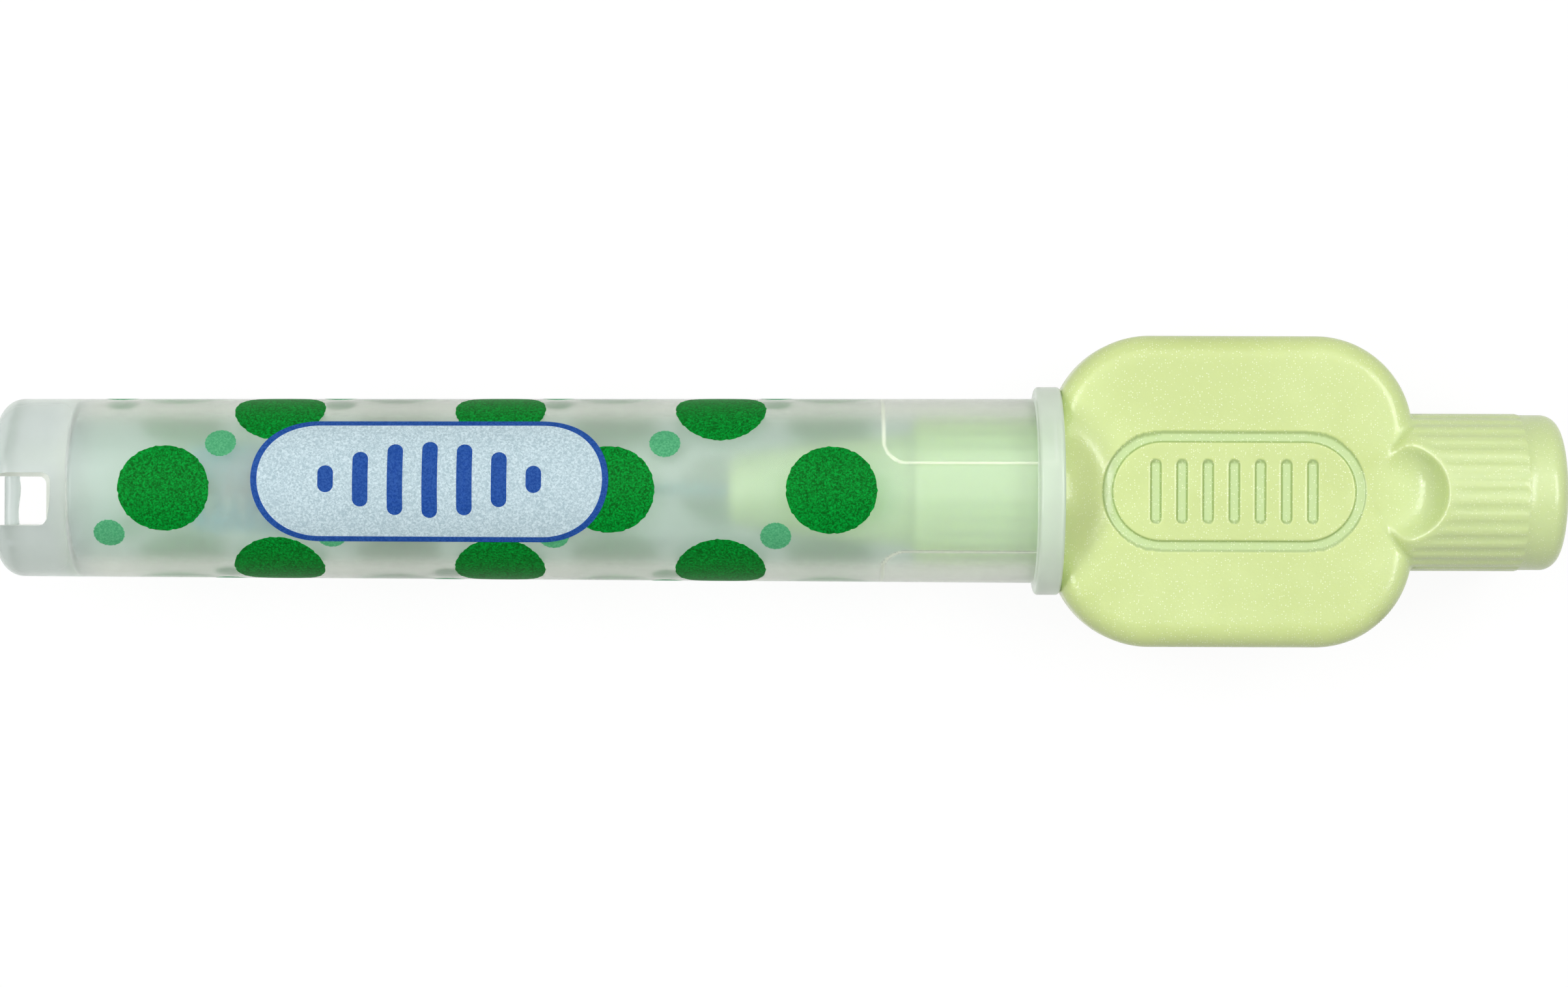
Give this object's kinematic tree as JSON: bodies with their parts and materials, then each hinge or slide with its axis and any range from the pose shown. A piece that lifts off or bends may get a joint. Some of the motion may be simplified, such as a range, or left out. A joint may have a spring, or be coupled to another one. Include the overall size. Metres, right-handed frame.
{
  "type": "interdental brush",
  "caption": "Interdental brush: a twisted-in-wire brush in a flat rounded handle with ribbed barrels, under a long clear slip-on cap with a flanged mouth and a hanging eye.",
  "frame": {"origin": "on the axis of the cap and handle, at the middle of the closed brush's length", "axes": "+X along the axis from the closed end of the cap to the rear knob, +Z square to the handle's flat, +Y completes the right-handed frame"},
  "size_m": [0.087, 0.0174, 0.0116],
  "materials": {
    "cap_plastic": "milky clear polypropylene, satin outside",
    "handle_plastic": "pearly lime polypropylene, fine spark-eroded grain",
    "coated_wire": "twisted steel wire with a thin coloured plastic coat",
    "filament": "fine nylon filament"
  },
  "bodies": {
    "brush": {"handle": "handle_plastic", "wire": "coated_wire", "filaments": "filament"},
    "cap": {"cap": "cap_plastic"}
  },
  "joints": [
    {"name": "cap_slide", "type": "slide", "parent": "brush", "child": "cap", "axis": [-1, 0, 0], "range_m": [0, 0.052]}
  ]
}
